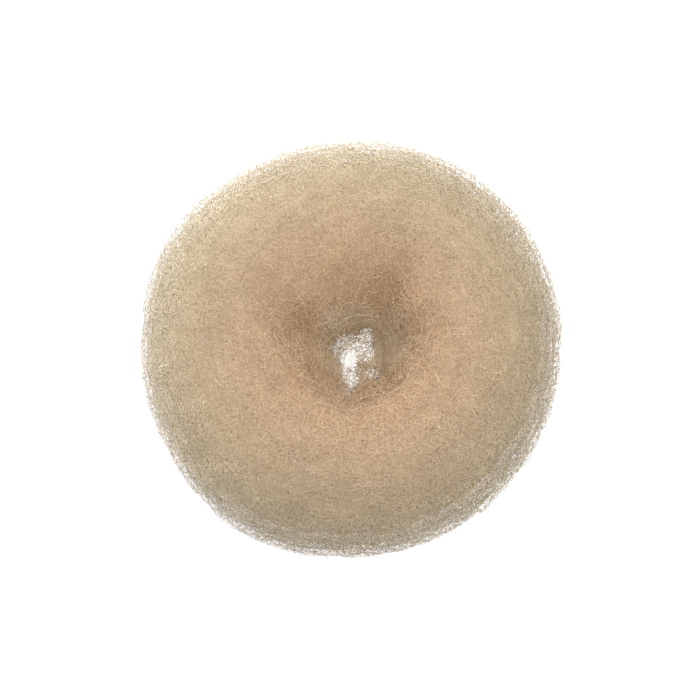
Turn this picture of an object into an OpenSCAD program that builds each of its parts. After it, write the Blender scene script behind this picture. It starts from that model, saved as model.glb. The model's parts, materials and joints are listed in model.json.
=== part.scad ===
// Hair donut bun maker: a fine knitted nylon net, rolled on itself into one thick ring.
// Millimetres, +Z up. The ring rests on Z = 0 with its middle over the origin,
// and its front, the side that the tip of the puckered hole points to, faces -Y.

/* [Ring] */
// Outer width of the ring, before the small swells of its outline
ring_d = 90; // [76:1:104]
// Height of the ring as it rests
ring_h = 38; // [30:1:44]
// Fullness of the roll in section: 2 is an ellipse, more is squarer
roll_full = 2.1; // [2:0.05:2.8]
// Depth by which the soft underside is pressed flat
base_flat = 1.2; // [0.6:0.1:2.4]

/* [Hole] */
// Width of the hole at its throat, between the swells of the net
hole_w = 5.8; // [5:0.2:12]
// Length of the hole at its throat, from front to back
hole_l = 11.2; // [8:0.2:18]
// Distance of the hole to the right of the ring's middle
hole_right = 0.8; // [0:0.2:4]
// Distance of the hole in front of the ring's middle
hole_front = 3.8; // [0:0.2:6]

/* [Creases] */
// Depth of the deepest crease that gathers the net at the hole
crease_deep = 5; // [2:0.2:7]
// Width of the widest crease, across its groove
crease_wide = 11; // [4:0.5:14]
// Share of each crease's depth that is left at the throat, where the net is pulled tight
crease_pinch = 0.3; // [0:0.05:1]
// Share of each crease's climb that it keeps on the underside
crease_under = 0.6; // [0.1:0.05:0.65]

/* [Hidden] */

// Sections round the hole, and points round each section
SECTIONS = 96;
POINTS = 40;

// Outline of the ring, seen from above and read round from the right-hand side.
// Columns: angle, reach as a share of half the width, height as a share of the ring's
REACH = 1;
HEIGHT = 2;
OUTLINE = [
    [  0, 0.997, 1.00],
    [ 30, 1.016, 0.99],
    [ 60, 1.023, 0.98],
    [ 90, 0.995, 1.00],
    [120, 0.994, 1.00],
    [150, 1.022, 0.99],
    [180, 0.992, 0.98],
    [210, 0.992, 0.99],
    [240, 1.022, 1.00],
    [270, 0.998, 0.99],
    [300, 0.994, 0.98],
    [330, 0.990, 0.99],
];

// Creases that run up from the throat, read round the hole from its right-hand side.
// Columns: angle at the throat, angle where it runs out, depth as a share of the deepest,
// width as a share of the widest, and the climb from the throat towards the rim in degrees
// round the section
FROM = 0;
TO = 1;
DEEP = 2;
WIDE = 3;
CLIMB = 4;
CREASES = [
    [ -2,  24, 0.95, 1.00,  86],
    [ 54,  66, 1.00, 0.65, 104],
    [180, 136, 0.95, 0.75, 104],
    [222, 214, 0.35, 0.80,  70],
    [266, 266, 0.30, 0.60,  66],
    [316, 320, 0.50, 0.80,  76],
];

// Climb at which each crease is deepest, as a share of its whole climb
DEEPEST = 0.34;

// Middle of the hole, and of the section's height
hole_x = hole_right;
hole_y = -hole_front;
mid_z = (ring_h - base_flat) / 2;

function sum(list, i = 0) = i >= len(list) ? 0 : list[i] + sum(list, i + 1);

// Angle brought between -180 and 180
function turned(a) = a - 360 * floor((a + 180) / 360);

// Smooth bell of height 1 and half-width 1
function bell(x) = abs(x) >= 1 ? 0 : pow(cos(90 * x), 2);

// Column c of the outline at angle a, eased between its rows
function outline(a, c) =
    let (
        place = (turned(a) + 360) * len(OUTLINE) / 360,
        row = floor(place),
        ease = (1 - cos(180 * (place - row))) / 2,
        here = OUTLINE[row % len(OUTLINE)][c],
        next = OUTLINE[(row + 1) % len(OUTLINE)][c]
    )
    here + (next - here) * ease;

// Distance from the middle of the hole to the throat's plain oval
function throat(a) =
    1 / sqrt(pow(cos(a) / (hole_w / 2), 2) + pow(sin(a) / (hole_l / 2), 2));

// Distance from the middle of the hole to a circle of radius r round the ring's middle
function to_circle(a, r) =
    let (along = hole_x * cos(a) + hole_y * sin(a))
    sqrt(along * along - hole_x * hole_x - hole_y * hole_y + r * r) - along;

// Angle at which the ring's middle sees the point at distance d and angle a from the hole
function seen_at(a, d) = atan2(hole_y + d * sin(a), hole_x + d * cos(a));

// Share of a crease's depth at share x of its climb: pinched at the throat, deepest above it
// and run out at the end
function deepened(x) =
    x > DEEPEST
        ? bell((x - DEEPEST) / (1 - DEEPEST))
        : 1 - (1 - crease_pinch) * bell(x / DEEPEST);

// Depth of the creases at angle a round the hole, angle f round the section
// and distance d from the middle of the hole
function creased(a, f, d) =
    let (
        climbed = abs(turned(f - 180)) / (f > 180 ? crease_under : 1),
        depths = [for (c = CREASES)
            let (
                x = min(1, climbed / c[CLIMB]),
                off = turned(a - c[FROM] - (c[TO] - c[FROM]) * x)
            )
            abs(off) >= 90 ? 0
                : c[DEEP] * bell(2 * d * sin(off) / (crease_wide * c[WIDE])) * deepened(x)]
    )
    crease_deep * sum(depths);

// Reach of the roll from the middle of its section, half as wide as w and half as high as h
function roll(f, w, h) =
    pow(pow(abs(cos(f)) / w, roll_full) + pow(abs(sin(f)) / h, roll_full), -1 / roll_full);

// Point of the ring at angle a round the hole and angle f round the section
function skin(a, f) =
    let (
        seen = seen_at(a, to_circle(a, ring_d / 2)),
        near = throat(a),
        far = to_circle(a, ring_d / 2 * outline(seen, REACH)),
        half_h = sin(f) > 0 ? ring_h * outline(seen, HEIGHT) - mid_z : mid_z + base_flat,
        plain = roll(f, (far - near) / 2, half_h),
        reach = plain - creased(a, f, (near + far) / 2 + plain * cos(f)),
        out = (near + far) / 2 + reach * cos(f)
    )
    [hole_x + out * cos(a), hole_y + out * sin(a), max(0, mid_z + reach * sin(f))];

// Closed skin through every section, with the last section joined to the first
module net_ring() {
    points = [for (s = [0 : SECTIONS - 1]) for (p = [0 : POINTS - 1])
        skin(360 * s / SECTIONS, 360 * p / POINTS)];
    faces = [for (s = [0 : SECTIONS - 1]) for (p = [0 : POINTS - 1])
        let (t = (s + 1) % SECTIONS, q = (p + 1) % POINTS)
        each [
            [s * POINTS + p, s * POINTS + q, t * POINTS + q],
            [s * POINTS + p, t * POINTS + q, t * POINTS + p],
        ]];
    color([0.79, 0.68, 0.53]) polyhedron(points = points, faces = faces, convexity = 6);
}

net_ring();
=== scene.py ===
"""Looks of a hair donut bun maker: a fine nylon net, rolled on itself into one thick ring.

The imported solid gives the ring's form. An opaque roll of inner turns fills it. Knitted turns of
curly nylon strand and loose see-through turns lie over that roll, one above another, up to the
solid's skin. Gathered turns cross the throat, and stand open in its middle.
"""

import json
import logging
import math
from dataclasses import dataclass, field
from enum import Enum

import bpy
import numpy as np
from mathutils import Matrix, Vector
from mathutils.bvhtree import BVHTree

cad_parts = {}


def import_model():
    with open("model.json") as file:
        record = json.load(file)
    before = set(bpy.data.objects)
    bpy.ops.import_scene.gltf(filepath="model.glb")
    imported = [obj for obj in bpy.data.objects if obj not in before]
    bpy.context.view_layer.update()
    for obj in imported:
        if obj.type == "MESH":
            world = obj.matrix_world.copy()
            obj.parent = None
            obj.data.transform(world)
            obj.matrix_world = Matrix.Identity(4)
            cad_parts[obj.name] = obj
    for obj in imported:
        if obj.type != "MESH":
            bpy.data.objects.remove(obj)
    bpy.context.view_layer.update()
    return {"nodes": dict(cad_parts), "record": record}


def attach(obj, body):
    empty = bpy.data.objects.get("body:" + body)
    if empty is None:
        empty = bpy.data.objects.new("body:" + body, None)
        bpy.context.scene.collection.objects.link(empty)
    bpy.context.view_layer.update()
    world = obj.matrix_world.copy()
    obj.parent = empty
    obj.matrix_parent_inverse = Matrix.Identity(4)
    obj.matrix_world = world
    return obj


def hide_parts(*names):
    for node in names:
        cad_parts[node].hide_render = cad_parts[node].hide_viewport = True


LOG = logging.getLogger("hair_donut")

MM = 0.001
FRAME = 700
NODE = "net_ring"
BODY = "root"
HOLE_MOUNT = "ponytail_hole"

# Names of the map and of the values that are kept on points
MAP_NAME = "OFBake"
PLACE = "net_place"
OUTWARD = "outward"
GIRTH = "girth"
OPENNESS = "openness"
COURSE = "course"
STITCHES = "stitches"
STEP = "step"

# Noise lies about its middle, and seldom strays from it by more than a quarter
NOISE_MIDDLE = (0.5, 0.5, 0.5)
NOISE_GAIN = 4.0
# Distances in a pattern that are far enough apart to look unlike
LAYER_STEP = 0.1
TURN_STEP = 0.37

Colour = tuple[float, float, float]
Place = tuple[float, float, float]
Array = np.ndarray
Material = bpy.types.Material
Mesh = bpy.types.Mesh
Object = bpy.types.Object
Socket = bpy.types.NodeSocket

WHITE: Colour = (1.0, 1.0, 1.0)
LEVEL: Place = (1.0, 1.0, 0.0)


class NodeChain:
    """A node tree with short calls to add a node and join it."""

    def __init__(self, tree: bpy.types.NodeTree) -> None:
        """Empties the shader or geometry tree that the chain builds in."""
        self.tree = tree
        self.tree.nodes.clear()

    def add(self, kind: str, inputs: dict | None = None, **settings: object) -> bpy.types.Node:
        """Adds a node, sets its properties, and fills or joins its inputs.

        Args:
            kind: The node's type name.
            inputs: Name or number of an input, to a value or to an output that is joined to it.
            **settings: Properties of the node.

        Returns:
            The new node.
        """
        node = self.tree.nodes.new(kind)
        for name, value in settings.items():
            setattr(node, name, value)
        for key, value in (inputs or {}).items():
            socket = self.find(node.inputs, key)
            if isinstance(value, Socket):
                self.tree.links.new(value, socket)
            elif socket.type == "RGBA":
                socket.default_value = (*value, 1.0)
            else:
                socket.default_value = value
        return node

    def find(self, sockets: bpy.types.bpy_prop_collection, key: str | int) -> Socket:
        """Returns the socket of a number, or the one in use of a name that several may have."""
        numbered = isinstance(key, int)
        return sockets[key] if numbered else next(s for s in sockets if s.name == key and s.enabled)

    def maths(self, operation: str, first: object, second: object = 0.0) -> Socket:
        """Returns what a Math node makes of one or two numbers or outputs."""
        return self.add("ShaderNodeMath", {0: first, 1: second}, operation=operation).outputs[0]

    def vector(self, operation: str, first: object, second: object = (0, 0, 0)) -> Socket:
        """Returns what a Vector Math node makes of one or two vectors or outputs."""
        return self.add("ShaderNodeVectorMath", {0: first, 1: second}, operation=operation).outputs[0]

    def scaled(self, vector: object, factor: object) -> Socket:
        """Returns a vector times a factor."""
        return self.add("ShaderNodeVectorMath", {0: vector, 3: factor}, operation="SCALE").outputs[0]

    def level_length(self, vector: Socket) -> Socket:
        """Returns the length of a vector as seen from above."""
        level = self.vector("MULTIPLY", vector, LEVEL)
        return self.add("ShaderNodeVectorMath", {0: level}, operation="LENGTH").outputs["Value"]

    def ranged(self, value: Socket, low: float, high: float, to_low: object, to_high: float) -> Socket:
        """Brings a value from low and high to to_low and to_high, and holds it between them."""
        ends = {"Value": value, "From Min": low, "From Max": high, "To Min": to_low, "To Max": to_high}
        return self.add("ShaderNodeMapRange", ends, interpolation_type="SMOOTHSTEP").outputs[0]

    def faded(self, away: Socket, near: float, far: float, first: object, second: Colour) -> Socket:
        """Returns the first colour as far as near, and goes over to the second by far."""
        mixed = {"Factor": self.ranged(away, near, far, 0, 1), "A": first, "B": second}
        return self.find(self.add("ShaderNodeMix", mixed, data_type="RGBA").outputs, "Result")

    def position(self) -> Socket:
        """Returns the point's own place, in the frame that every piece shares."""
        return self.add("ShaderNodeTexCoord").outputs["Object"]

    def noise(self, size: float, detail: float = 0.0) -> bpy.types.bpy_prop_collection:
        """Returns the outputs of noise with waves of this size."""
        waves = {"Vector": self.position(), "Scale": 1 / size, "Detail": detail}
        return self.add("ShaderNodeTexNoise", waves).outputs

    def mottled(self, size: float, detail: float, spread: float, reach: float) -> Socket:
        """Returns a factor that goes as far as reach from 1, where noise strays by spread."""
        noise = self.noise(size, detail)["Fac"]
        return self.ranged(noise, 0.5 - spread, 0.5 + spread, 1 - reach, 1 + reach)

    def swayed(self, size: float, reach: float) -> Socket:
        """Returns the point's place, bent this far one way and the other in waves of this size."""
        sway = self.vector("SUBTRACT", self.noise(size)["Color"], NOISE_MIDDLE)
        return self.vector("ADD", self.position(), self.scaled(sway, NOISE_GAIN * reach))

    def cell_edge(self, place: Socket, cell: float, away: float) -> Socket:
        """Returns how far off a cell's edge is, as a share of the cell, this far on in the pattern."""
        net = {"Vector": self.vector("ADD", place, (away,) * 3), "Scale": 1 / cell}
        return self.add("ShaderNodeTexVoronoi", net, feature="DISTANCE_TO_EDGE").outputs["Distance"]

    def strands(
        self, place: Socket, cells: tuple[float, ...], away: float, edges: tuple, drop: float = 0.0
    ) -> Socket:
        """Adds the strands of a tangled net, one layer of cells on another.

        Args:
            place: The point's place.
            cells: The size of the cells in each layer.
            away: How far on in the pattern the first layer is taken.
            edges: How far from a cell's edge a strand begins to fall away, and where it ends.
            drop: How much lower each layer lies than the one over it.

        Returns:
            The strands' height, from 0 in a pore to 1 on a strand of the top layer.
        """
        height: object = 0.0
        for layer, cell in enumerate(cells):
            edge = self.cell_edge(place, cell, away + layer * LAYER_STEP)
            near, far = (reach / cell for reach in edges)
            height = self.maths("MAXIMUM", height, self.ranged(edge, near, far, 1 - drop * layer, 0))
        return height

    def shaded(self, surface: dict[str, object]) -> None:
        """Ends a material in a shader with these inputs."""
        shader = self.add("ShaderNodeBsdfPrincipled", surface)
        self.add("ShaderNodeOutputMaterial", {"Surface": shader.outputs[0]})


def new_material(name: str) -> tuple[Material, NodeChain]:
    """Makes a material.

    Args:
        name: Its name.

    Returns:
        The material, and the chain that its nodes are added to.
    """
    material = bpy.data.materials.new(name)
    material.use_nodes = True
    return material, NodeChain(material.node_tree)


def placed(name: str, data: bpy.types.ID) -> Object:
    """Puts something in the scene.

    Args:
        name: Its name.
        data: The mesh, lamp or camera.

    Returns:
        Its object.
    """
    thing = bpy.data.objects.new(name, data)
    bpy.context.scene.collection.objects.link(thing)
    return thing


def new_mesh(name: str, points: Array, faces: list) -> Mesh:
    """Makes a mesh.

    Args:
        name: Its name.
        points: Its points, in a grid or in rows.
        faces: The numbers of each face's points.

    Returns:
        The mesh.
    """
    mesh = bpy.data.meshes.new(name)
    mesh.from_pydata(points.reshape(-1, 3).tolist(), [], faces)
    return mesh


def eased(share: Array) -> Array:
    """Returns a share held between 0 and 1, that starts and ends slowly."""
    held = np.clip(share, 0, 1)
    return held * held * (3 - 2 * held)


def averaged(grid: Array, axis: int, times: int = 1) -> Array:
    """Draws every point of a closed grid towards the points on both sides of it.

    Args:
        grid: The grid.
        axis: The axis along which its neighbours lie.
        times: How often it is done.

    Returns:
        The smoother grid.
    """
    for _ in range(times):
        grid = (np.roll(grid, 1, axis) + 2 * grid + np.roll(grid, -1, axis)) / 4
    return grid


def grid_faces(sections: int, across: int) -> Array:
    """Lists the faces of a grid that is closed both ways.

    Args:
        sections: How many sections there are round the ring.
        across: How many points each section has.

    Returns:
        The four corners of the face at every point, by section and by place in it.
    """
    number = np.arange(sections * across).reshape(sections, across)
    after = np.roll(number, -1, 0)
    return np.stack([number, after, np.roll(after, -1, 1), np.roll(number, -1, 1)], axis=2)


def lay_uv(mesh: Mesh, places: Array) -> None:
    """Writes a UV map from one place per vertex, closed where the ring and the roll meet.

    Args:
        mesh: The mesh that gets the map.
        places: Shares round the ring and round the roll, one row per vertex.
    """
    corners = np.empty(len(mesh.loops), np.int32)
    mesh.loops.foreach_get("vertex_index", corners)
    starts = np.empty(len(mesh.polygons), np.int32)
    mesh.polygons.foreach_get("loop_start", starts)
    counts = np.diff(np.append(starts, len(corners)))
    uv = places[corners] % 1.0
    for axis in range(2):
        column = uv[:, axis]
        highest = np.repeat(np.maximum.reduceat(column, starts), counts)
        lowest = np.repeat(np.minimum.reduceat(column, starts), counts)
        uv[(highest - lowest > 0.5) & (column < 0.5), axis] += 1.0
    layer = mesh.uv_layers.new(name=MAP_NAME)
    layer.uv.foreach_set("vector", uv.astype(np.float32).ravel())


def lay_grid_uv(mesh: Mesh, sections: int, across: int, steps: int) -> None:
    """Writes the UV map of a grid that is this many steps across."""
    numbers = np.stack(np.indices((sections, across)), axis=2).reshape(-1, 2)
    lay_uv(mesh, numbers / np.array([sections, steps], float))


@dataclass(frozen=True)
class Guide:
    """A surface that net is knitted on, and its length across the courses."""

    body: Object
    across: float

    @staticmethod
    def of(mesh: Mesh, across: float, outward: Array, girths: Array) -> "Guide":
        """Makes a guide of a mesh.

        Args:
            mesh: The surface, with its map.
            across: Its length across the courses.
            outward: The way out of the surface at every vertex.
            girths: The length of the course through every vertex.

        Returns:
            The guide.
        """
        ways = mesh.attributes.new(OUTWARD, "FLOAT_VECTOR", "POINT")
        ways.data.foreach_set("vector", outward.astype(np.float32).ravel())
        lengths = mesh.attributes.new(GIRTH, "FLOAT", "POINT")
        lengths.data.foreach_set("value", girths.astype(np.float32).ravel())
        return Guide(placed(mesh.name, mesh), across)


@dataclass
class RingSkin:
    """The ring's skin as a regular grid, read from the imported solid.

    Each section is cut through the roll by a plane through the middle of the hole. It begins at
    the throat, climbs over the top to the rim, and comes back along the underside.
    """

    solid: Object
    hole: Vector
    sections: int = 208
    places: int = 112
    probes: int = 360
    round_waves: int = 3
    soften_round: int = 12
    soften_across: int = 1
    ease_round: int = 60
    ease_share: float = 0.34
    veil_rings: int = 9
    veil_from: float = 0.02
    veil_to: float = 1.3
    veil_shift: Place = (-1.9 * MM, 0.8 * MM, 0.0)
    points: Array = field(init=False)
    normals: Array = field(init=False)

    def __post_init__(self) -> None:
        """Reads the grid of points and their normals."""
        tree = self._tree()
        middles = self._middles(tree)
        rows = [self._section(tree, i, middles[i]) for i in range(self.sections)]
        self.points = self._evened(self._softened(np.array(rows)))
        self.normals = self._outward()

    def _tree(self) -> BVHTree:
        """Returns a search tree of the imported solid's faces."""
        mesh = self.solid.data
        corners = [tuple(v.co) for v in mesh.vertices]
        return BVHTree.FromPolygons(corners, [tuple(p.vertices) for p in mesh.polygons])

    def _way(self, i: int) -> Vector:
        """Returns the level direction of section i, away from the hole."""
        turn = 2 * math.pi * i / self.sections
        return Vector((math.cos(turn), math.sin(turn), 0.0))

    def _middles(self, tree: BVHTree) -> Array:
        """Finds how far the middle of the roll lies from the middle of the hole.

        Args:
            tree: The solid's search tree.

        Returns:
            One distance per section, eased round the ring.
        """
        middles = []
        for i in range(self.sections):
            way = self._way(i)
            near = tree.ray_cast(self.hole, way)[3]
            inside = near + MM
            across = tree.ray_cast(self.hole + way * inside, way)[3]
            middles.append(near + (inside + across - near) / 2)
        waves = np.fft.rfft(middles)
        waves[self.round_waves + 1 :] = 0
        return np.fft.irfft(waves, self.sections)

    def _section(self, tree: BVHTree, i: int, middle: float) -> Array:
        """Reads one section of the skin at equal steps along its outline.

        Args:
            tree: The solid's search tree.
            i: The section's number.
            middle: How far the middle of the roll lies from the middle of the hole.

        Returns:
            The points of the section.
        """
        way = self._way(i)
        centre = self.hole + way * middle
        met = []
        for k in range(self.probes + 1):
            turn = math.pi - 2 * math.pi * k / self.probes
            ray = way * math.cos(turn) + Vector((0.0, 0.0, math.sin(turn)))
            met.append(tree.ray_cast(centre, ray)[0])
        outline = np.array(met)
        steps = np.linalg.norm(np.diff(outline, axis=0), axis=1)
        walked = np.concatenate([[0.0], np.cumsum(steps)])
        wanted = np.linspace(0, walked[-1], self.places, endpoint=False)
        return np.stack([np.interp(wanted, walked, outline[:, c]) for c in range(3)], axis=1)

    def _softened(self, grid: Array) -> Array:
        """Returns the grid with the solid's facets rounded off and its creases eased."""
        grid = averaged(averaged(grid, 0, self.soften_round), 1, self.soften_across)
        return grid + (averaged(grid, 0, self.ease_round) - grid) * self.ease_share

    def _evened(self, grid: Array) -> Array:
        """Moves the sections closer together where the creases stretch the net.

        Args:
            grid: The points at equal turns round the hole.

        Returns:
            The points at equal steps, as a mean of every line round the ring.
        """
        steps = np.linalg.norm(np.roll(grid, -1, 0) - grid, axis=2)
        share = (steps / steps.mean(axis=0)).mean(axis=1)
        walked = np.concatenate([[0.0], np.cumsum(share)])
        wanted = np.linspace(0, walked[-1], self.sections, endpoint=False)
        closed = np.concatenate([grid, grid[:1]]).reshape(self.sections + 1, -1)
        columns = [np.interp(wanted, walked, column) for column in closed.T]
        return np.stack(columns, axis=1).reshape(grid.shape)

    def _outward(self) -> Array:
        """Returns the skin's normals, which point away from the roll."""
        along = np.roll(self.points, -1, 0) - np.roll(self.points, 1, 0)
        across = np.roll(self.points, -1, 1) - np.roll(self.points, 1, 1)
        normals = np.cross(along, across)
        normals /= np.linalg.norm(normals, axis=2, keepdims=True)
        at_rim = normals[0, self.places // 2]
        return normals if at_rim[0] > 0 else -normals

    def girth(self, place: int) -> float:
        """Returns the length round the ring along one place of every section."""
        line = self.points[:, place]
        return float(np.linalg.norm(line - np.roll(line, -1, 0), axis=1).sum())

    def section_length(self) -> float:
        """Returns the mean length once round the roll."""
        steps = np.linalg.norm(self.points - np.roll(self.points, -1, 1), axis=2)
        return float(steps.sum(axis=1).mean())

    def lumps(self, seed: int, height: float, times: int = 1) -> Array:
        """Makes the uneven depth of packed net, a few millimetres from lump to lump.

        Args:
            seed: The seed of the lumps.
            height: Their usual height.
            times: How often they are smoothed.

        Returns:
            The height at every point, around 0.
        """
        rough = np.random.default_rng(seed).standard_normal((self.sections, self.places))
        for _ in range(times):
            rough = averaged(averaged(rough, 0), 1)
        return height * rough / rough.std()

    def mesh(self, name: str, points: Array) -> Mesh:
        """Makes a closed quad mesh with the skin's layout.

        Args:
            name: The mesh's name.
            points: A grid of points like the skin's own.

        Returns:
            The mesh, with a map of the shares round the ring and round the roll.
        """
        mesh = new_mesh(name, points, grid_faces(self.sections, self.places).reshape(-1, 4).tolist())
        if mesh.polygons[0].normal.dot(Vector(self.normals[0, 0])) < 0:
            mesh.flip_normals()
        lay_grid_uv(mesh, self.sections, self.places, self.places)
        mesh.shade_smooth()
        return mesh

    def guide(self) -> Guide:
        """Makes the guide of the turns that go round the roll."""
        mesh = self.mesh("skin_guide", self.points)
        girths = [self.girth(place) for place in range(self.places)]
        return Guide.of(mesh, self.section_length(), self.normals, np.tile(girths, self.sections))

    def veil_guide(self) -> Guide:
        """Makes the guide of the thin net across the hole, level with its throat."""
        edge = self.points[:, :1]
        middle = edge.mean(axis=0) + np.array(self.veil_shift)
        shares = np.linspace(self.veil_from, self.veil_to, self.veil_rings)
        points = middle + (edge - middle) * shares[None, :, None]
        faces = grid_faces(self.sections, self.veil_rings)[:, :-1]
        mesh = new_mesh("veil_guide", points, faces.reshape(-1, 4).tolist())
        lay_grid_uv(mesh, self.sections, self.veil_rings, self.veil_rings - 1)
        up = np.tile([0.0, 0.0, 1.0], self.sections * self.veil_rings)
        spread = self.girth(0) / (2 * math.pi) * (self.veil_to - self.veil_from)
        return Guide.of(mesh, spread, up, np.tile(self.girth(0) * shares, self.sections))


@dataclass(frozen=True)
class NylonTone:
    """The beige of the net: warm round the hole, greyer further out and pale at the rim.

    Painted shade makes it darker far down the hole, and painted light makes it lighter on the
    walls that the light reaches through the throat.
    """

    # Painted shade, at the bottom of the hole
    painted_hole_shade: Colour
    warm: Colour = (0.87, 0.645, 0.425)
    grey: Colour = (0.85, 0.72, 0.505)
    pale: Colour = (0.93, 0.85, 0.72)
    warm_within: float = 14 * MM
    grey_beyond: float = 44 * MM
    pale_about: Place = (1.2 * MM, -1.2 * MM, 0.0)
    pale_from: float = 42.6 * MM
    pale_beyond: float = 47.5 * MM
    # Where the painted shade in the hole ends and where it has faded out
    shaded_within: float = 3 * MM
    open_beyond: float = 15 * MM
    # Painted light on the walls near the throat: its colour, middle, shape and reach
    painted_throat_light: Colour = (1.15, 1.31, 1.47)
    lit_at: Place = (1.5 * MM, 2.8 * MM, 0.0)
    lit_shape: Place = (1.0, 1.35, 0.0)
    lit_within: float = 7 * MM
    lit_to: float = 12.5 * MM
    patch: float = 6 * MM
    patch_detail: float = 2.0
    patch_spread: float = 0.2
    patch_tint: float = 0.05

    def colour(self, chain: NodeChain, hole: Vector) -> Socket:
        """Adds the nodes of the beige.

        Args:
            chain: The material's node tree.
            hole: The middle of the hole.

        Returns:
            The colour.
        """
        from_hole = chain.vector("SUBTRACT", chain.position(), tuple(hole))
        from_lit = chain.vector("SUBTRACT", from_hole, self.lit_at)
        away = chain.level_length(from_hole)
        out = chain.level_length(chain.vector("SUBTRACT", chain.position(), self.pale_about))
        off_lit = chain.level_length(chain.vector("MULTIPLY", from_lit, self.lit_shape))
        beige = chain.faded(away, self.warm_within, self.grey_beyond, self.warm, self.grey)
        beige = chain.faded(out, self.pale_from, self.pale_beyond, beige, self.pale)
        # Painted shade in the hole, and painted light on the walls near the throat
        shade = chain.faded(away, self.shaded_within, self.open_beyond, self.painted_hole_shade, WHITE)
        painted_throat_light = chain.faded(off_lit, self.lit_within, self.lit_to, self.painted_throat_light, WHITE)
        beige = chain.vector("MULTIPLY", beige, chain.vector("MULTIPLY", shade, painted_throat_light))
        tint = chain.mottled(self.patch, self.patch_detail, self.patch_spread, self.patch_tint)
        return chain.scaled(beige, tint)


@dataclass(frozen=True)
class NetFinish:
    """What the finishes of the net share: a name and the beige."""

    name: str
    tone: NylonTone

    def material(self, hole: Vector) -> Material:
        """Builds the material.

        Args:
            hole: The middle of the hole.

        Returns:
            The material.
        """
        material, chain = new_material(self.name)
        chain.shaded(self.surface(chain, self.tone.colour(chain, hole)))
        return material

    def surface(self, chain: NodeChain, beige: Socket) -> dict[str, object]:
        """Returns the inputs of the shader, which each finish works out for itself."""
        raise NotImplementedError


@dataclass(frozen=True)
class StrandFinish(NetFinish):
    """Bare nylon strand, smooth enough to glint, with painted glints as light and dark flecks along it.
    """

    roughness: float = 0.42
    shine: float = 0.5
    # Painted glints: flecks along the strand, lighter and darker than its beige
    painted_glint_size: float = 0.3 * MM
    painted_glint_detail: float = 0.0
    painted_glint_spread: float = 0.15
    painted_glint: float = 0.10

    def surface(self, chain: NodeChain, beige: Socket) -> dict[str, object]:
        """Works out the shader of bare strand.

        Args:
            chain: The material's nodes.
            beige: The colour of the net.

        Returns:
            The shader's inputs.
        """
        # The strand's colour carries painted glints
        painted_glint = chain.mottled(self.painted_glint_size, self.painted_glint_detail, self.painted_glint_spread, self.painted_glint)
        return {
            "Base Color": chain.scaled(beige, painted_glint),
            "Roughness": self.roughness,
            "Specular IOR Level": self.shine,
        }


@dataclass(frozen=True)
class PackedFinish(NetFinish):
    """Turns of net packed on each other: fine curly strands over pores slightly darkened by painted
    shade.
    """

    cells: tuple[float, ...] = (1.5 * MM, 1.2 * MM, 1.0 * MM)
    line: float = 0.13 * MM
    layer_drop: float = 0.25
    sway_size: float = 0.9 * MM
    sway: float = 0.3 * MM
    # Painted shade in the pores, as a share of the beige
    pore_shade: float = 0.78
    bump: float = 0.3
    bump_height: float = 0.12 * MM
    roughness: float = 0.6

    def surface(self, chain: NodeChain, beige: Socket) -> dict[str, object]:
        """Works out the shader of packed net.

        Args:
            chain: The material's nodes.
            beige: The colour of the net.

        Returns:
            The shader's inputs.
        """
        bent = chain.swayed(self.sway_size, self.sway)
        strands = chain.strands(bent, self.cells, 0, (0, self.line), self.layer_drop)
        relief = {"Strength": self.bump, "Distance": self.bump_height, "Height": strands}
        return {
            # Painted shade: the pores and the lower layers of strands are darker
            "Base Color": chain.scaled(beige, chain.ranged(strands, 0, 1, self.pore_shade, 1)),
            "Roughness": self.roughness,
            "Normal": chain.add("ShaderNodeBump", relief).outputs[0],
        }


@dataclass(frozen=True)
class LooseFinish(NetFinish):
    """A single loose turn of net, with clear gaps between its strands."""

    offset: float
    line: float
    cells: tuple[float, ...] = (1.3 * MM, 0.9 * MM)
    crown_share: float = 0.5
    about: Place = (1.5 * MM, -1.5 * MM, 0.0)
    crown_to: float = 32 * MM
    rim_from: float = 46 * MM
    sway_size: float = 0.8 * MM
    sway: float = 0.3 * MM
    edge: float = 0.6
    roughness: float = 0.5

    def surface(self, chain: NodeChain, beige: Socket) -> dict[str, object]:
        """Works out the shader of loose net, which is clear but for its strands.

        Args:
            chain: The material's nodes.
            beige: The colour of the net.

        Returns:
            The shader's inputs.
        """
        bent = chain.swayed(self.sway_size, self.sway)
        half = self.line / 2
        there = chain.strands(bent, self.cells, self.offset, (half * self.edge, half))
        out = chain.level_length(chain.vector("SUBTRACT", chain.position(), self.about))
        shown = chain.ranged(out, self.crown_to, self.rim_from, self.crown_share, 1)
        return {
            "Base Color": beige,
            "Roughness": self.roughness,
            "Alpha": chain.maths("MULTIPLY", there, shown),
        }


@dataclass(frozen=True)
class ThroatFinish(NetFinish):
    """Net drawn together across the throat, with pores that close where it is gathered."""

    offset: float
    cell: float
    widest: float = 0.5
    soft: float = 0.05
    roughness: float = 0.5

    def surface(self, chain: NodeChain, beige: Socket) -> dict[str, object]:
        """Works out the shader of gathered net, which is clear in its pores.

        Args:
            chain: The material's nodes.
            beige: The colour of the net.

        Returns:
            The shader's inputs.
        """
        edge = chain.cell_edge(chain.position(), self.cell, self.offset)
        openness = chain.add("ShaderNodeAttribute", {}, attribute_name=OPENNESS).outputs["Fac"]
        past = chain.maths("SUBTRACT", edge, chain.ranged(openness, 0, 1, self.widest, 0))
        return {
            "Base Color": beige,
            "Roughness": self.roughness,
            "Alpha": chain.ranged(past, -self.soft, self.soft, 1, 0),
        }


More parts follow.
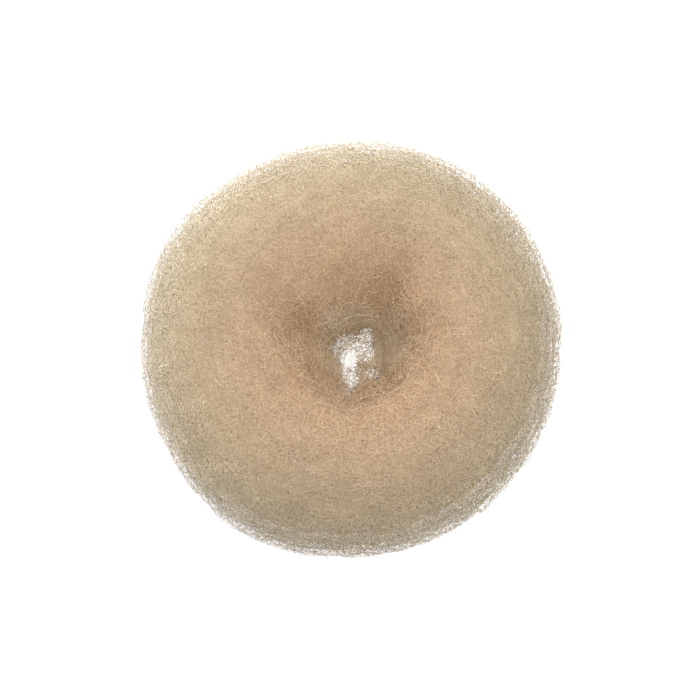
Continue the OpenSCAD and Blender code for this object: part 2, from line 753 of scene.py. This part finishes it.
class KnitTree:
    """The Geometry Nodes tree that knits one turn of the net along a skin."""

    # Each kind of input, and the fields of a turn that it holds
    KINDS = {
        "Object": ("skin",),
        "Int": ("courses", "loop_points"),
        "Float": (
            "depth", "seed", "first_row", "row_span", "stitch", "climb", "lean", "roll", "swell",
            "spread", "curl_size", "curl", "kink_size", "kink", "strand", "crown",
        ),
        "Material": ("finish",),
    }
    # Swings to a stitch, of the loops' size and of a course's wander, and the wander's reach
    LOOP_PACE = 0.7
    WANDER_PACE = 0.13
    WANDER = 3.5
    # What each course adds to the seed of its swings and of its kinks
    SWING_SEED = 17.3
    KINK_SEED = 7.3
    # Shares round the roll between which the strand thins out from the crown to the rim
    CROWN_TO = 0.29
    RIM_FROM = 0.39
    STRAND_SIDES = 3

    def __init__(self) -> None:
        """Builds the tree."""
        self.tree = bpy.data.node_groups.new("knit_turn", "GeometryNodeTree")
        face = self.tree.interface
        self.keys = {
            name: face.new_socket(name=name, in_out="INPUT", socket_type=f"NodeSocket{kind}").identifier
            for kind, names in self.KINDS.items()
            for name in names
        }
        face.new_socket(name="Geometry", in_out="OUTPUT", socket_type="NodeSocketGeometry")
        self.chain = NodeChain(self.tree)
        self.sizes = self.chain.add("NodeGroupInput").outputs
        points = self._courses()
        strand = self._strand(self._laid(points))
        self.chain.add("NodeGroupOutput", {0: strand})

    def _stored(self, geometry: Socket, name: str, value: Socket, kind: str = "FLOAT") -> Socket:
        """Returns the points with a value of this kind kept on them by name."""
        inputs = {"Geometry": geometry, "Name": name, "Value": value}
        return self.chain.add("GeometryNodeStoreNamedAttribute", inputs, data_type=kind).outputs[0]

    def _named(self, name: str, kind: str = "FLOAT") -> Socket:
        """Returns a value that was kept on the points."""
        node = self.chain.add("GeometryNodeInputNamedAttribute", {"Name": name}, data_type=kind)
        return self.chain.find(node.outputs, "Attribute")

    def _courses(self) -> Socket:
        """Adds one point per course, then as many as the course has points.

        Returns:
            The points, each with its course, its number along it and the course's stitches.
        """
        chain = self.chain
        points = chain.add("GeometryNodePoints", {"Count": self.sizes["courses"]}).outputs[0]
        course = chain.add("GeometryNodeInputIndex").outputs[0]
        points = self._stored(points, COURSE, course)
        row = chain.maths("FRACT", self._row(course))
        place = chain.add("ShaderNodeCombineXYZ", {0: 0.0, 1: row}).outputs[0]
        girth = self._sampled(self._named(GIRTH), place, "FLOAT")
        stitches = chain.maths("ROUND", chain.maths("DIVIDE", girth, self.sizes["stitch"]))
        points = self._stored(points, STITCHES, stitches)
        amount = chain.maths("MULTIPLY", self._named(STITCHES), self.sizes["loop_points"])
        copies = {"Geometry": points, "Amount": amount}
        doubled = chain.add("GeometryNodeDuplicateElements", copies, domain="POINT")
        return self._stored(doubled.outputs[0], STEP, doubled.outputs["Duplicate Index"])

    def _row(self, course: Socket) -> Socket:
        """Finds where a course runs.

        Args:
            course: The course's number.

        Returns:
            The share round the roll.
        """
        chain, sizes = self.chain, self.sizes
        share = chain.maths("DIVIDE", chain.maths("ADD", course, 0.5), sizes["courses"])
        return chain.maths("ADD", sizes["first_row"], chain.maths("MULTIPLY", share, sizes["row_span"]))

    def _laid(self, points: Socket) -> Socket:
        """Moves the points onto the skin, in knitted loops that curl.

        Args:
            points: The points of every course.

        Returns:
            The points in place.
        """
        chain, sizes = self.chain, self.sizes
        course = self._named(COURSE)
        along = chain.maths("DIVIDE", self._named(STEP), sizes["loop_points"])
        swing = chain.maths("MULTIPLY", along, 2 * math.pi)
        twice = chain.maths("MULTIPLY", swing, 2.0)
        vary = self._varied(along, course, self.LOOP_PACE, sizes["spread"])
        vary = chain.maths("ADD", 1.0, vary)
        lean = chain.maths("MULTIPLY", sizes["lean"], chain.maths("SINE", twice))
        roll = chain.maths("MULTIPLY", sizes["roll"], chain.maths("SINE", swing))
        roll = chain.maths("MULTIPLY", roll, vary)
        along = chain.maths("ADD", along, chain.maths("ADD", lean, roll))
        round_ring = chain.maths("DIVIDE", along, self._named(STITCHES))
        climb = chain.maths("MULTIPLY", sizes["climb"], chain.maths("COSINE", swing))
        climb = chain.maths("MULTIPLY", climb, vary)
        wander = self._varied(along, course, self.WANDER_PACE, self.WANDER)
        wander = chain.maths("MULTIPLY", wander, sizes["climb"])
        round_roll = chain.maths("ADD", self._row(course), chain.maths("ADD", climb, wander))
        shares = [chain.maths("FRACT", share) for share in (round_ring, round_roll)]
        place = chain.add("ShaderNodeCombineXYZ", {0: shares[0], 1: shares[1]}).outputs[0]
        points = self._stored(points, PLACE, place, "FLOAT_VECTOR")
        at = self._named(PLACE, "FLOAT_VECTOR")
        swell = chain.maths("MULTIPLY", sizes["swell"], chain.maths("COSINE", twice))
        height = chain.maths("SUBTRACT", swell, sizes["depth"])
        spot = self._sampled(chain.add("GeometryNodeInputPosition").outputs[0], at)
        outward = self._sampled(self._named(OUTWARD, "FLOAT_VECTOR"), at)
        spot = chain.vector("ADD", spot, chain.scaled(outward, height))
        seed = sizes["seed"]
        curl = self._noise(spot, seed, sizes["curl_size"], sizes["curl"])
        own = chain.maths("ADD", seed, chain.maths("MULTIPLY", course, self.KINK_SEED))
        kink = self._noise(spot, own, sizes["kink_size"], sizes["kink"])
        spot = chain.vector("ADD", spot, chain.vector("ADD", curl, kink))
        table = {0: -1, 1: -1, 2: sizes["strand"]}
        spot = chain.vector("MAXIMUM", spot, chain.add("ShaderNodeCombineXYZ", table).outputs[0])
        moved = {"Geometry": points, "Position": spot}
        return chain.add("GeometryNodeSetPosition", moved).outputs[0]

    def _varied(self, along: Socket, course: Socket, pace: float, spread: object) -> Socket:
        """Adds an uneven swing along a course.

        Args:
            along: The stitches since the course began.
            course: The course's number.
            pace: How many swings there are to a stitch.
            spread: How wide they are.

        Returns:
            The swing, around 0.
        """
        chain = self.chain
        own = chain.maths("ADD", self.sizes["seed"], chain.maths("MULTIPLY", course, self.SWING_SEED))
        waves = {"W": chain.maths("ADD", along, own), "Scale": pace, "Detail": 0.0}
        noise = chain.add("ShaderNodeTexNoise", waves, noise_dimensions="1D").outputs["Fac"]
        return chain.maths("MULTIPLY", chain.maths("SUBTRACT", noise, 0.5), spread)

    def _sampled(self, value: Socket, place: Socket, kind: str = "FLOAT_VECTOR") -> Socket:
        """Reads a value off the guide.

        Args:
            value: What is read.
            place: Where on the guide's map.
            kind: The value's type.

        Returns:
            The value there.
        """
        skin = self.chain.add("GeometryNodeObjectInfo", {"Object": self.sizes["skin"]})
        inputs = {
            "Mesh": skin.outputs["Geometry"],
            "Value": value,
            "UV Map": self._named(MAP_NAME, "FLOAT_VECTOR"),
            "Sample UV": place,
        }
        node = self.chain.add("GeometryNodeSampleUVSurface", inputs, data_type=kind)
        return self.chain.find(node.outputs, "Value")

    def _noise(self, spot: Socket, seed: Socket, size: Socket, reach: Socket) -> Socket:
        """Adds a wander in every direction.

        Args:
            spot: Where the strand is.
            seed: The wander's seed.
            size: The size of its waves.
            reach: How far it goes.

        Returns:
            The way and distance to move.
        """
        chain = self.chain
        waves = {"Vector": spot, "W": seed, "Scale": chain.maths("DIVIDE", 1.0, size), "Detail": 0.0}
        noise = chain.add("ShaderNodeTexNoise", waves, noise_dimensions="4D").outputs["Color"]
        sway = chain.vector("SUBTRACT", noise, NOISE_MIDDLE)
        return chain.scaled(sway, chain.maths("MULTIPLY", reach, NOISE_GAIN))

    def _thickened(self) -> Socket:
        """Returns how much thicker the strand is on the crown than at the rim."""
        chain, sizes = self.chain, self.sizes
        place = self._named(PLACE, "FLOAT_VECTOR")
        row = chain.add("ShaderNodeSeparateXYZ", {0: place}).outputs[1]
        crown = chain.maths("DIVIDE", sizes["crown"], sizes["strand"])
        return chain.ranged(row, self.CROWN_TO, self.RIM_FROM, crown, 1.0)

    def _strand(self, points: Socket) -> Socket:
        """Draws each course's strand through its points.

        Args:
            points: The points in place.

        Returns:
            The strands as one mesh with its finish.
        """
        chain = self.chain
        lines = {"Points": points, "Curve Group ID": self._named(COURSE), "Weight": self._named(STEP)}
        curves = chain.add("GeometryNodePointsToCurves", lines).outputs[0]
        closed = {"Geometry": curves, "Cyclic": True}
        curves = chain.add("GeometryNodeSetSplineCyclic", closed).outputs[0]
        radius = chain.maths("MULTIPLY", self.sizes["strand"], 0.5)
        ring = {"Resolution": self.STRAND_SIDES, "Radius": radius}
        profile = chain.add("GeometryNodeCurvePrimitiveCircle", ring, mode="RADIUS").outputs[0]
        swept = {"Curve": curves, "Profile Curve": profile, "Scale": self._thickened()}
        mesh = chain.add("GeometryNodeCurveToMesh", swept).outputs[0]
        mesh = chain.add("GeometryNodeSetShadeSmooth", {"Geometry": mesh}).outputs[0]
        mesh = chain.add("GeometryNodeRealizeInstances", {"Geometry": mesh}).outputs[0]
        dressed = {"Geometry": mesh, "Material": self.sizes["finish"]}
        return chain.add("GeometryNodeSetMaterial", dressed).outputs[0]


@dataclass
class NetTurn:
    """One turn of knitted net, at a depth below the skin."""

    name: str
    depth: float
    seed: float
    courses: int = 27
    first_row: float = 0.04
    row_span: float = 0.62
    stitch: float = 1.55 * MM
    loop_points: int = 8
    climb: float = 0.85 * MM
    lean: float = 0.08
    roll: float = 0.4
    swell: float = 0.25 * MM
    spread: float = 0.9
    curl_size: float = 2.6 * MM
    curl: float = 0.5 * MM
    kink_size: float = 0.8 * MM
    kink: float = 0.33 * MM
    strand: float = 0.06 * MM
    crown: float = 0.13 * MM

    def build(self, knit: KnitTree, guide: Guide, finish: Material) -> Object:
        """Knits the turn and makes it a plain mesh.

        Args:
            knit: The tree that knits.
            guide: The surface that it is knitted on.
            finish: The strand's material.

        Returns:
            The turn's object.
        """
        sizes = vars(self) | {"climb": self.climb / guide.across, "skin": guide.body, "finish": finish}
        turn = placed(self.name, bpy.data.meshes.new(self.name))
        modifier = turn.modifiers.new("knit", "NODES")
        modifier.node_group = knit.tree
        for name, key in knit.keys.items():
            modifier[key] = sizes[name]
        graph = bpy.context.evaluated_depsgraph_get()
        mesh = bpy.data.meshes.new_from_object(turn.evaluated_get(graph))
        turn.modifiers.remove(modifier)
        turn.data = mesh
        mesh.name = self.name
        places = np.empty(len(mesh.vertices) * 3, np.float32)
        mesh.attributes[PLACE].data.foreach_get("vector", places)
        lay_uv(mesh, places.reshape(-1, 3)[:, :2].astype(float))
        for name in (COURSE, STITCHES, STEP, PLACE):
            if name in mesh.attributes:
                mesh.attributes.remove(mesh.attributes[name])
        return turn


@dataclass
class VeilTurn(NetTurn):
    """One turn of thin net that bridges the mouth of the hole."""

    climb: float = 0.5 * MM
    curl: float = 0.3 * MM
    kink: float = 0.4 * MM
    strand: float = 0.08 * MM
    crown: float = 0.08 * MM


@dataclass
class SheetTurn:
    """A turn of net that is one plain mesh."""

    name: str

    def build(self, skin: RingSkin, finish: Material) -> Object:
        """Makes the turn.

        Args:
            skin: The ring's skin.
            finish: The turn's material.

        Returns:
            The turn's object.
        """
        mesh = self.mesh(skin)
        mesh.materials.append(finish)
        return placed(self.name, mesh)

    def mesh(self, skin: RingSkin) -> Mesh:
        """Returns the turn's mesh, which each kind of turn makes for itself."""
        raise NotImplementedError


@dataclass
class InnerRoll(SheetTurn):
    """The turns of net under the loose ones, packed so closely that nothing shows through.

    The roll lies deepest at the rim, and a little deeper still on the side that more_at names.
    """

    name: str = "inner_roll"
    depth_at_rim: float = 3.9 * MM
    depth_on_crown: float = 3.4 * MM
    depth_at_base: float = 0.8 * MM
    more: float = 0.3 * MM
    more_at: float = -60.0
    rim_full: float = 0.10
    rim_to: float = 0.20
    level_from: float = 0.4
    level_full: float = 0.9
    throat_to: float = 0.10
    lump: float = 0.35 * MM
    seed: int = 5
    throat_depths: tuple[float, ...] = (0.7, 1.4, 2.6, 1.8, 2.2, 2.5, 1.2, 0.4, 0.8, 2.8, 0.4, 2.0)

    def depths(self, skin: RingSkin) -> Array:
        """Works out how far the roll lies under the skin.

        Args:
            skin: The ring's skin.

        Returns:
            The depth at every point of the skin.
        """
        share = np.arange(skin.places) / skin.places
        at_rim = eased((self.rim_to - np.abs(share - 0.5)) / (self.rim_to - self.rim_full))
        turn = 2 * math.pi * np.arange(skin.sections) / skin.sections
        more = self.more * eased((1 + np.cos(turn - math.radians(self.more_at))) / 2)
        deepest = self.depth_at_rim + more[:, None]
        depth = self.depth_on_crown + (deepest - self.depth_on_crown) * at_rim[None, :]
        down = -skin.normals[:, :, 2]
        at_base = eased((down - self.level_from) / (self.level_full - self.level_from))
        depth = depth + (self.depth_at_base - depth) * at_base
        depth = depth + skin.lumps(self.seed, self.lump) * at_rim[None, :]
        at_throat = eased(1 - np.minimum(share, 1 - share) / self.throat_to)[None, :]
        return depth + (self._throat(skin)[:, None] - depth) * at_throat

    def _throat(self, skin: RingSkin) -> Array:
        """Works out the depth at the throat.

        Args:
            skin: The ring's skin.

        Returns:
            The depth in every section, eased between those that are given.
        """
        out = skin.points[:, 0] - np.array(skin.hole)
        turn = np.arctan2(out[:, 1], out[:, 0]) / (2 * math.pi) * len(self.throat_depths)
        before = np.floor(turn).astype(int)
        given = np.array(self.throat_depths) * MM
        here, after = given[before % len(given)], given[(before + 1) % len(given)]
        return here + (after - here) * eased(turn - before)

    def mesh(self, skin: RingSkin) -> Mesh:
        """Returns the roll's mesh, under the skin."""
        return skin.mesh(self.name, skin.points - skin.normals * self.depths(skin)[:, :, None])


@dataclass
class LooseTurn(SheetTurn):
    """One loose turn of net, close under the skin or over it."""

    depth: float
    seed: int
    strand: float
    lump: float = 0.3 * MM
    smoothed: int = 2

    def mesh(self, skin: RingSkin) -> Mesh:
        """Makes the turn's mesh, and keeps it above the table.

        Args:
            skin: The ring's skin.

        Returns:
            The mesh.
        """
        depth = self.depth + skin.lumps(self.seed, self.lump, self.smoothed)
        points = skin.points - skin.normals * depth[:, :, None]
        points[:, :, 2] = np.maximum(points[:, :, 2], self.strand)
        return skin.mesh(self.name, points)


@dataclass(frozen=True)
class Opening:
    """A place in the throat where the gathered net stands open, in mm from the hole's middle."""

    middle: tuple[float, float]
    reach: tuple[float, float]
    share: float
    steepness: float = 1.8

    def open_at(self, points: Array) -> Array:
        """Returns how open the net is at points measured from the middle of the hole."""
        off = (points[:, :2] / MM - self.middle) / self.reach
        return self.share * eased(self.steepness * (1 - np.linalg.norm(off, axis=1)))


@dataclass
class GatheredTurn(SheetTurn):
    """One turn of net drawn together across the throat."""

    drop: float
    offset: float
    cell: float
    rings: int = 26
    spread: float = 2.3
    openings: tuple[Opening, ...] = (
        Opening((-1.2, 1.2), (2.6, 3.2), 1.0),
        Opening((-1.2, 3.2), (5.8, 5.4), 0.66),
        Opening((2.6, 2.8), (2.9, 3.6), 0.62),
        Opening((2.4, 6.0), (2.4, 3.4), 0.68),
        Opening((-1.0, -3.2), (3.0, 6.8), 0.64),
        Opening((3.4, -2.4), (3.8, 2.6), 0.5),
    )

    def mesh(self, skin: RingSkin) -> Mesh:
        """Makes the turn's mesh, closed in its middle by a fan.

        Args:
            skin: The ring's skin.

        Returns:
            The mesh.
        """
        edge = skin.points[:, :1]
        middle = edge.mean(axis=0)
        shares = np.linspace(0, self.spread, self.rings + 1)[1:]
        points = (middle + (edge - middle) * shares[None, :, None]).reshape(-1, 3)
        points = np.vstack([points, middle]) - np.array([0.0, 0.0, self.drop])
        quads = grid_faces(len(edge), self.rings)
        faces = quads[:, :-1].reshape(-1, 4).tolist()
        faces += [(len(points) - 1, after, here) for here, after in quads[:, 0, :2].tolist()]
        mesh = new_mesh(self.name, points, faces)
        if mesh.polygons[0].normal.z < 0:
            mesh.flip_normals()
        away = points - np.array(skin.hole)
        openness = np.max([opening.open_at(away) for opening in self.openings], axis=0)
        mesh.attributes.new(OPENNESS, "FLOAT", "POINT").data.foreach_set("value", np.sqrt(openness))
        return mesh


class LightRole(Enum):
    """Where each lamp hangs, seen from the front of the ring."""

    BACK = "back"
    LEFT = "left"
    TOP = "top"


@dataclass(frozen=True)
class Lamp:
    """A soft square lamp that looks at the ring."""

    role: LightRole
    place: Place
    power: float
    side: float = 0.5

    def build(self, target: Vector) -> None:
        """Hangs the lamp.

        Args:
            target: The point of the ring that it is turned to.
        """
        data = bpy.data.lights.new(self.role.value, "AREA")
        data.size = self.side
        data.energy = self.power
        lamp = placed(self.role.value, data)
        lamp.location = self.place
        lamp.rotation_euler = (target - Vector(self.place)).to_track_quat("-Z", "Y").to_euler()


@dataclass
class Studio:
    """A white table under soft light from behind, and the camera that looks down on it."""

    elevation: float = 75.0
    distance: float = 0.45
    lens: float = 108.0
    target_height: float = 19 * MM
    shift_pixels: tuple[float, float] = (-0.5, -5.0)
    table: float = 6.0
    table_colour: Colour = (0.5, 0.5, 0.5)
    glow: float = 1.0
    sky: float = 0.4
    filter_width: float = 1.2
    clear_bounces: int = 12
    lamps: tuple[Lamp, ...] = (
        Lamp(LightRole.BACK, (0.0, 1.08, 0.23), 3.9),
        Lamp(LightRole.LEFT, (-0.93, 0.54, 0.23), 5.5),
        Lamp(LightRole.TOP, (0.18, 0.07, 1.08), 5.6),
    )

    def build(self) -> None:
        """Sets up the camera, the table and the light."""
        target = Vector((0.0, 0.0, self.target_height))
        self._camera(target)
        self._table()
        self._sky()
        for lamp in self.lamps:
            lamp.build(target)
        scene = bpy.context.scene
        scene.view_settings.view_transform = "Standard"
        # The strands are finer than a pixel, and the eye looks through many turns of net
        scene.cycles.filter_width = self.filter_width
        scene.cycles.denoising_prefilter = "NONE"
        scene.cycles.transparent_max_bounces = self.clear_bounces

    def _camera(self, target: Vector) -> None:
        """Places the camera in front of the ring and well above it.

        Args:
            target: The point of the ring that it looks at.
        """
        tilt = math.radians(self.elevation)
        back = Vector((0.0, -math.cos(tilt), math.sin(tilt)))
        data = bpy.data.cameras.new("camera")
        data.lens = self.lens
        data.shift_x, data.shift_y = (pixels / FRAME for pixels in self.shift_pixels)
        camera = placed("camera", data)
        camera.location = target + back * self.distance
        camera.rotation_euler = (-back).to_track_quat("-Z", "Y").to_euler()
        bpy.context.scene.camera = camera

    def _table(self) -> None:
        """Lays the table that the ring rests on."""
        half = self.table / 2
        corners = np.array([(-half, -half, 0), (half, -half, 0), (half, half, 0), (-half, half, 0)])
        material, chain = new_material("white_table")
        surface = {
            "Base Color": self.table_colour,
            "Roughness": 1.0,
            "Emission Color": WHITE,
            "Emission Strength": self.glow,
        }
        chain.shaded(surface)
        table = placed("table_top", new_mesh("table_top", corners, [(0, 1, 2, 3)]))
        table.data.materials.append(material)
        table.visible_diffuse = False

    def _sky(self) -> None:
        """Fills the room with even light."""
        world = bpy.data.worlds.new("room")
        world.use_nodes = True
        chain = NodeChain(world.node_tree)
        light = chain.add("ShaderNodeBackground", {"Color": WHITE, "Strength": self.sky})
        chain.add("ShaderNodeOutputWorld", {"Surface": light.outputs[0]})
        bpy.context.scene.world = world


@dataclass
class HairDonut:
    """The whole bun maker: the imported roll, and the loose, knitted and gathered turns over it."""

    roll: InnerRoll = field(default_factory=InnerRoll)
    knitted: tuple[NetTurn, ...] = (
        NetTurn("net_turn_1", -0.3 * MM, 1.0, strand=0.075 * MM),
        NetTurn("net_turn_2", 0.8 * MM, 2.0, first_row=0.0477, strand=0.08 * MM),
        NetTurn("net_turn_3", 1.8 * MM, 3.0, first_row=0.0553, strand=0.09 * MM),
        NetTurn("base_turn", 0.15 * MM, 9.0, 11, 0.64, 0.30, 2.6 * MM, climb=1.6 * MM,
                swell=0.1 * MM, curl=0.3 * MM, kink=0.2 * MM, strand=0.1 * MM, crown=0.12 * MM),
    )
    veils: tuple[NetTurn, ...] = (
        VeilTurn("hole_veil_1", -0.4 * MM, 21.0, 6, 0.10, 0.70, 1.8 * MM),
        VeilTurn("hole_veil_2", 0.6 * MM, 22.0, 5, 0.26, 0.60, 1.5 * MM),
    )
    loose: tuple[LooseTurn, ...] = (
        LooseTurn("loose_turn_1", -0.6 * MM, 31, 0.068 * MM),
        LooseTurn("loose_turn_2", 0.6 * MM, 32, 0.088 * MM),
        LooseTurn("loose_turn_3", 2.3 * MM, 33, 0.135 * MM),
    )
    gathered: tuple[GatheredTurn, ...] = (
        GatheredTurn("throat_turn_1", 0.0 * MM, 0.13, 0.55 * MM),
        GatheredTurn("throat_turn_2", 1.2 * MM, 0.29, 0.7 * MM),
    )
    # Each tone has its own painted shade in the hole; the throat's painted shade is darkest, reaches
    # furthest and has no painted light
    strand_tone: NylonTone = NylonTone(painted_hole_shade=(0.95, 0.95, 0.92))
    packed_tone: NylonTone = NylonTone(painted_hole_shade=(0.88, 0.87, 0.84))
    throat_tone: NylonTone = NylonTone(painted_hole_shade=(0.66, 0.68, 0.66), painted_throat_light=WHITE, shaded_within=7 * MM)

    def build(self, solid: Object, hole: Vector) -> None:
        """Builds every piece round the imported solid.

        Args:
            solid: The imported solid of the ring.
            hole: The middle of its hole.
        """
        skin = RingSkin(solid, hole)
        LOG.info("skin: %d sections, rim girth %.0f mm", skin.sections, skin.girth(skin.places // 2) / MM)
        roll = self.roll.build(skin, PackedFinish("packed_net", self.packed_tone).material(hole))
        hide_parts(NODE)
        self._finish(roll)
        nylon = StrandFinish("nylon_strand", self.strand_tone).material(hole)
        for turn in self.loose:
            finish = LooseFinish(turn.name, self.strand_tone, turn.seed * TURN_STEP, turn.strand)
            self._finish(turn.build(skin, finish.material(hole)))
        for turn in self.gathered:
            finish = ThroatFinish(turn.name, self.throat_tone, turn.offset, turn.cell)
            self._finish(turn.build(skin, finish.material(hole)))
        knit = KnitTree()
        for guide, turns in ((skin.guide(), self.knitted), (skin.veil_guide(), self.veils)):
            for turn in turns:
                self._finish(turn.build(knit, guide, nylon))
            bpy.data.objects.remove(guide.body)

    def _finish(self, piece: Object) -> None:
        """Makes a piece ride on the part and reports it.

        Args:
            piece: The finished piece.
        """
        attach(piece, BODY)
        faces = sum(len(p.vertices) - 2 for p in piece.data.polygons)
        LOG.info("%s: %d triangles", piece.name, faces)


def hole_middle(record: dict) -> Vector:
    """Returns the place of the mount at the middle of the hole."""
    mount = next(m for m in record["mounts"] if m["name"] == HOLE_MOUNT)
    return Vector(mount["pos_m"])


def main() -> None:
    """Loads the frame, then builds the studio and every piece."""
    logging.basicConfig(level=logging.INFO, format="%(name)s %(message)s")
    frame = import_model()
    Studio().build()
    HairDonut().build(frame["nodes"][NODE], hole_middle(frame["record"]))
    bpy.context.view_layer.update()


if __name__ == "__main__":
    main()
